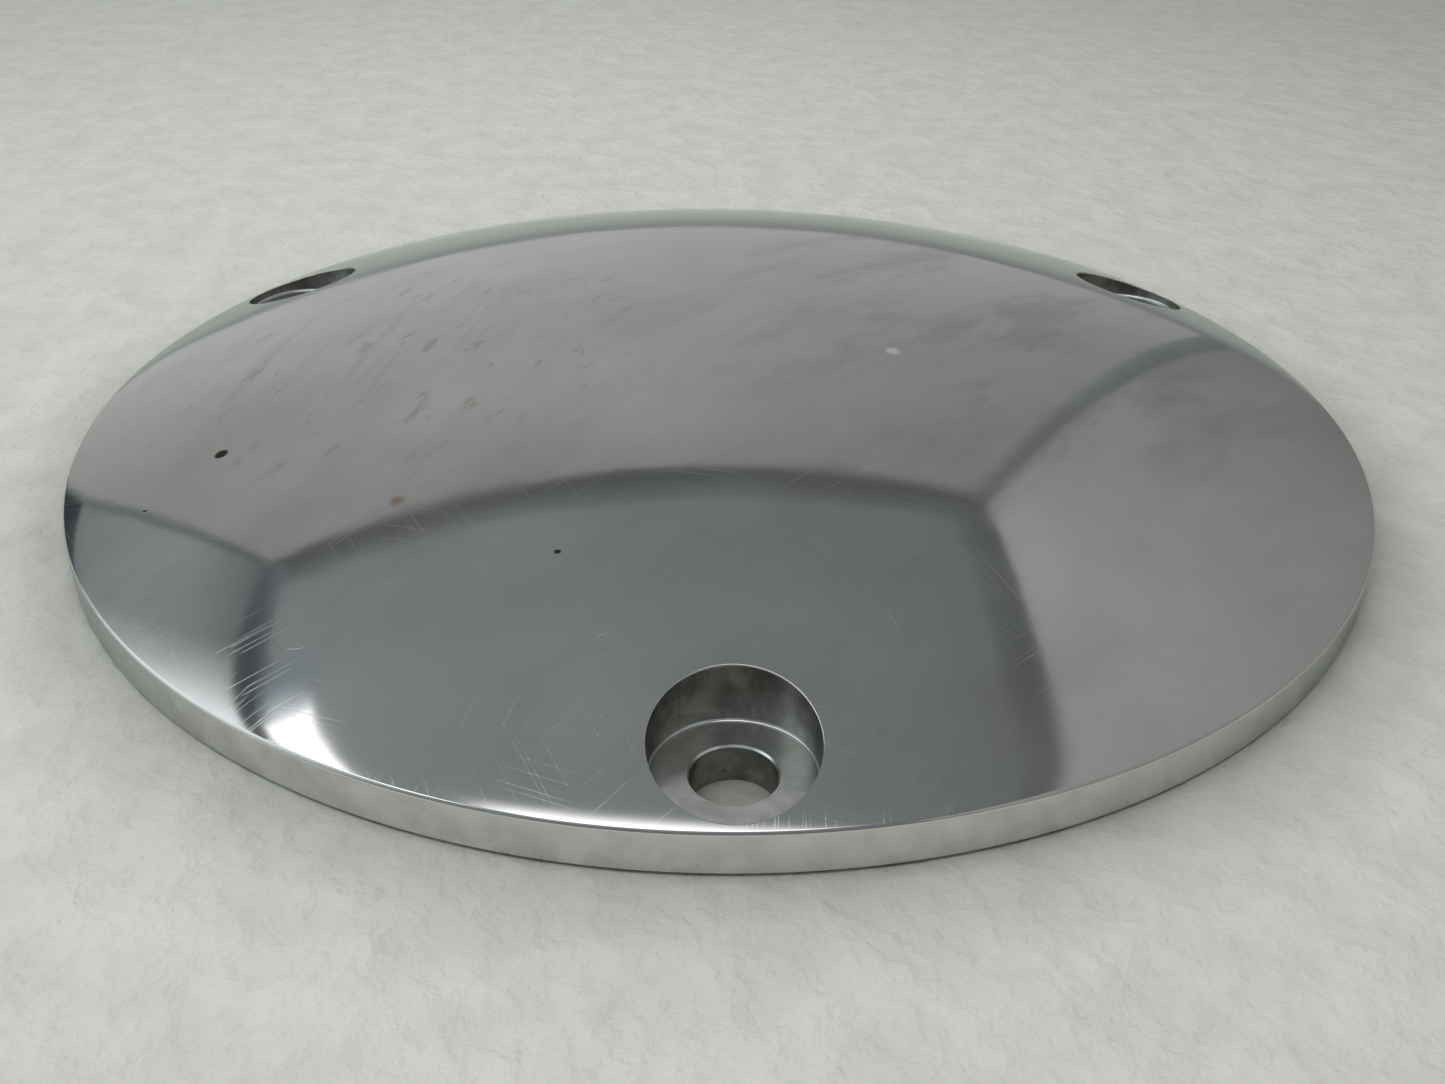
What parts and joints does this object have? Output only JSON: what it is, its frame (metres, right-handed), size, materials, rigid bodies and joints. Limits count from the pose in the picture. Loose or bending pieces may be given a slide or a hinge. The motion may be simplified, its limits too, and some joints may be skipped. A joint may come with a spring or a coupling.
{
  "type": "clutch inspection cover",
  "caption": "Round domed cover in polished aluminium with counterbored screw holes near its rim and a rubber seal ring in its back; closes the clutch opening of an engine's side case.",
  "frame": {"origin": "centre of the flat mounting face, which is also the lowest plane of the part", "axes": "+Z is the cover's axis, out through the crown of the dome; the first screw hole lies on -Y, the other two 120 degrees on"},
  "size_m": [0.133, 0.133, 0.0161],
  "materials": {
    "polished_aluminium": "polished outside, machined back",
    "seal_rubber": "matte"
  },
  "bodies": {
    "root": {"cover": "polished_aluminium", "seal_ring": "seal_rubber"}
  },
  "joints": []
}
